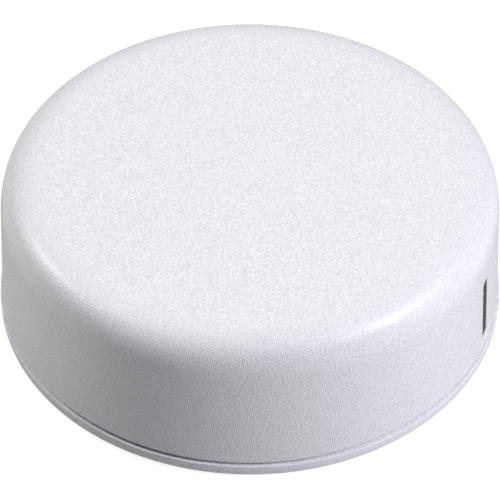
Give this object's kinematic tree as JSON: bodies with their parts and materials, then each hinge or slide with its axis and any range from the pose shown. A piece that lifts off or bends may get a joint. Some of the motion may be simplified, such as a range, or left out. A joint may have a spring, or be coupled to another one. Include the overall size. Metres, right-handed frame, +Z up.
{
  "type": "streaming media player",
  "caption": "Round, low set-top streaming box: a deep cover with a soft shoulder on a thin base, a narrow window slot in front and a recessed bay of sockets behind.",
  "frame": {"origin": "on the floor, under the centre of the rubber foot ring", "axes": "+Z up out of the top; -Y is the front with the window slot; +Y is the rear with the port bay; +X is to the right as seen from the front"},
  "size_m": [0.11, 0.11, 0.0355],
  "materials": {
    "pearl_plastic": "fine spark texture, pearl white",
    "dark_plastic": "fine moulded texture",
    "smoked_plastic": "polished, smoked",
    "black_rubber": "matte",
    "zinc_steel": "zinc plated",
    "nickel_steel": "nickel plated, bright",
    "bare_aluminium": "satin",
    "gold_contact": "gold plated",
    "green_board": "solder mask, satin",
    "black_epoxy": "matte moulding compound",
    "grey_pad": "soft, matte",
    "clear_lens": "clear"
  },
  "bodies": {
    "enclosure": {"top_cover": "pearl_plastic", "base_tray": "pearl_plastic", "foot_ring": "black_rubber", "case_screw_1": "zinc_steel", "case_screw_2": "zinc_steel", "case_screw_3": "zinc_steel", "case_screw_4": "zinc_steel", "ballast_plate": "zinc_steel", "main_board": "green_board", "board_screw_1": "zinc_steel", "board_screw_2": "zinc_steel", "board_screw_3": "zinc_steel", "board_screw_4": "zinc_steel", "soc_chip": "black_epoxy", "memory_chip_1": "black_epoxy", "memory_chip_2": "black_epoxy", "flash_chip": "black_epoxy", "power_manager_chip": "black_epoxy", "power_inductor_1": "black_epoxy", "power_inductor_2": "black_epoxy", "clock_crystal": "nickel_steel", "network_transformer": "black_epoxy", "wireless_module": "green_board", "bulk_capacitor_1": "zinc_steel", "bulk_capacitor_2": "zinc_steel", "thermal_pad": "grey_pad", "heat_sink": "bare_aluminium", "heat_sink_pin_1": "nickel_steel", "heat_sink_pin_2": "nickel_steel", "wireless_shield": "nickel_steel", "antenna_left": "gold_contact", "antenna_right": "gold_contact", "antenna_cable_left": "black_rubber", "antenna_cable_right": "black_rubber", "port_panel": "dark_plastic", "video_socket_shell": "nickel_steel", "video_socket_insert": "black_epoxy", "network_jack_housing": "dark_plastic", "network_jack_shield": "nickel_steel", "network_jack_contacts": "gold_contact", "power_socket_housing": "dark_plastic", "power_socket_pin": "nickel_steel", "switch_body": "black_epoxy", "slot_window": "smoked_plastic", "sensor_board": "green_board", "sensor_header": "black_epoxy", "infrared_receiver": "smoked_plastic", "status_led": "clear_lens"},
    "button": {"pairing_button": "pearl_plastic", "switch_plunger": "dark_plastic"}
  },
  "joints": [
    {"name": "pairing_button_press", "type": "slide", "parent": "enclosure", "child": "button", "axis": [0, -1, 0], "range_m": [0, 0.0005], "stiffness_N_per_m": 1000}
  ]
}
